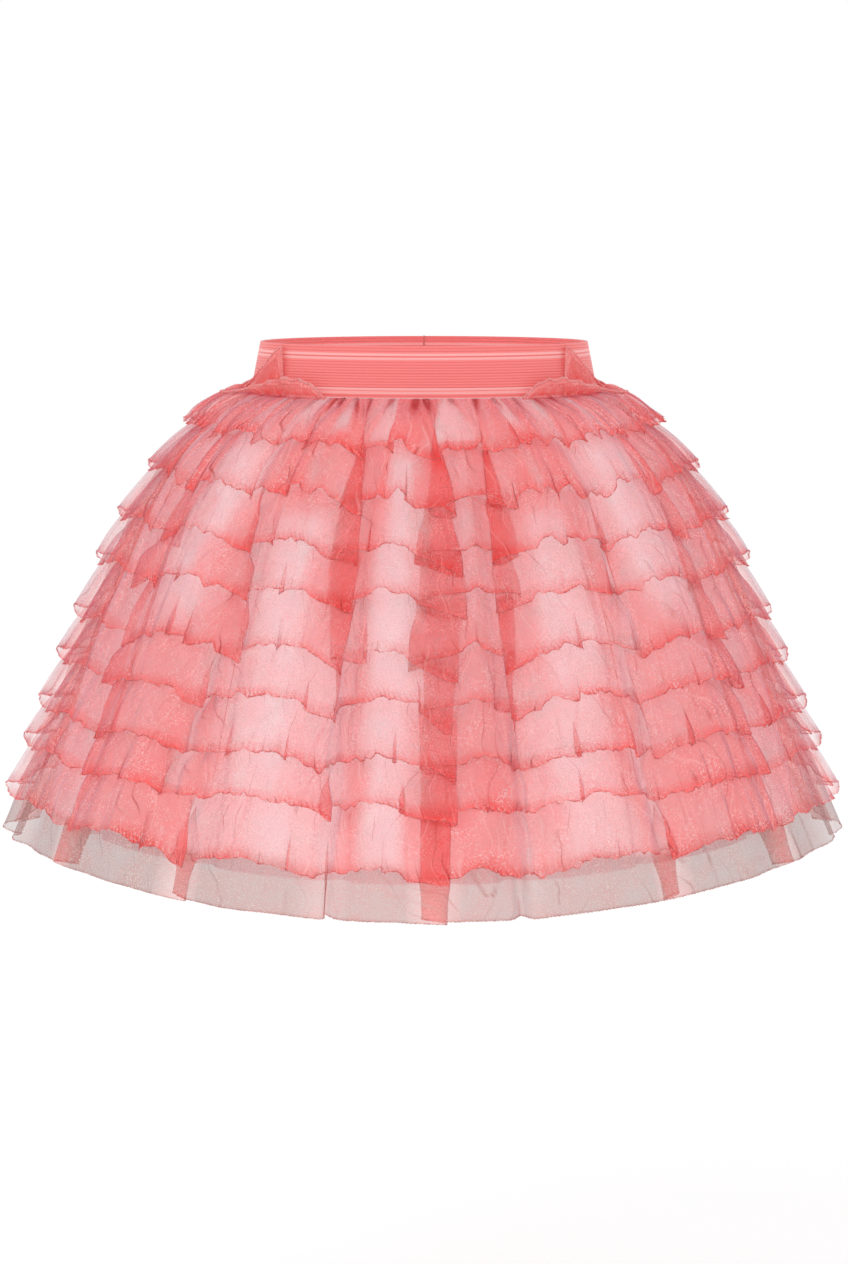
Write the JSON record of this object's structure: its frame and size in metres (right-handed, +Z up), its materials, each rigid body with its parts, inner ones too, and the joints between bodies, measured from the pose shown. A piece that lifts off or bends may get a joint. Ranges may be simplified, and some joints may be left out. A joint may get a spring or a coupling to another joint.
{
  "type": "girl's tiered organza skirt",
  "caption": "Knee-length tiered organza skirt in its worn, filled-out shape: gathered sheer ruffles on a lined base skirt, with a wide ribbed elastic waistband and side frills.",
  "frame": {"origin": "middle of the waist, half way up the waistband, where the wearer's waist holds the skirt", "axes": "+Z up along the wearer, front towards -Y, +X to the right as the front is looked at"},
  "size_m": [0.5131, 0.4897, 0.3066],
  "materials": {
    "elastic": "matt ribbed woven elastic in coral with pale stripes",
    "lining": "soft matt plain weave in pale pink",
    "base_organza": "crisp sheer organza with a fine glint, see-through",
    "organza": "crisp sheer coral organza with a fine glint, see-through"
  },
  "bodies": {
    "root": {"waistband": "elastic", "lining": "lining", "base_skirt": "base_organza", "ruffle_1": "organza", "ruffle_2": "organza", "ruffle_3": "organza", "ruffle_4": "organza", "ruffle_5": "organza", "ruffle_6": "organza", "ruffle_7": "organza", "ruffle_8": "organza", "ruffle_9": "organza", "frill_left": "organza", "frill_right": "organza"}
  },
  "joints": []
}
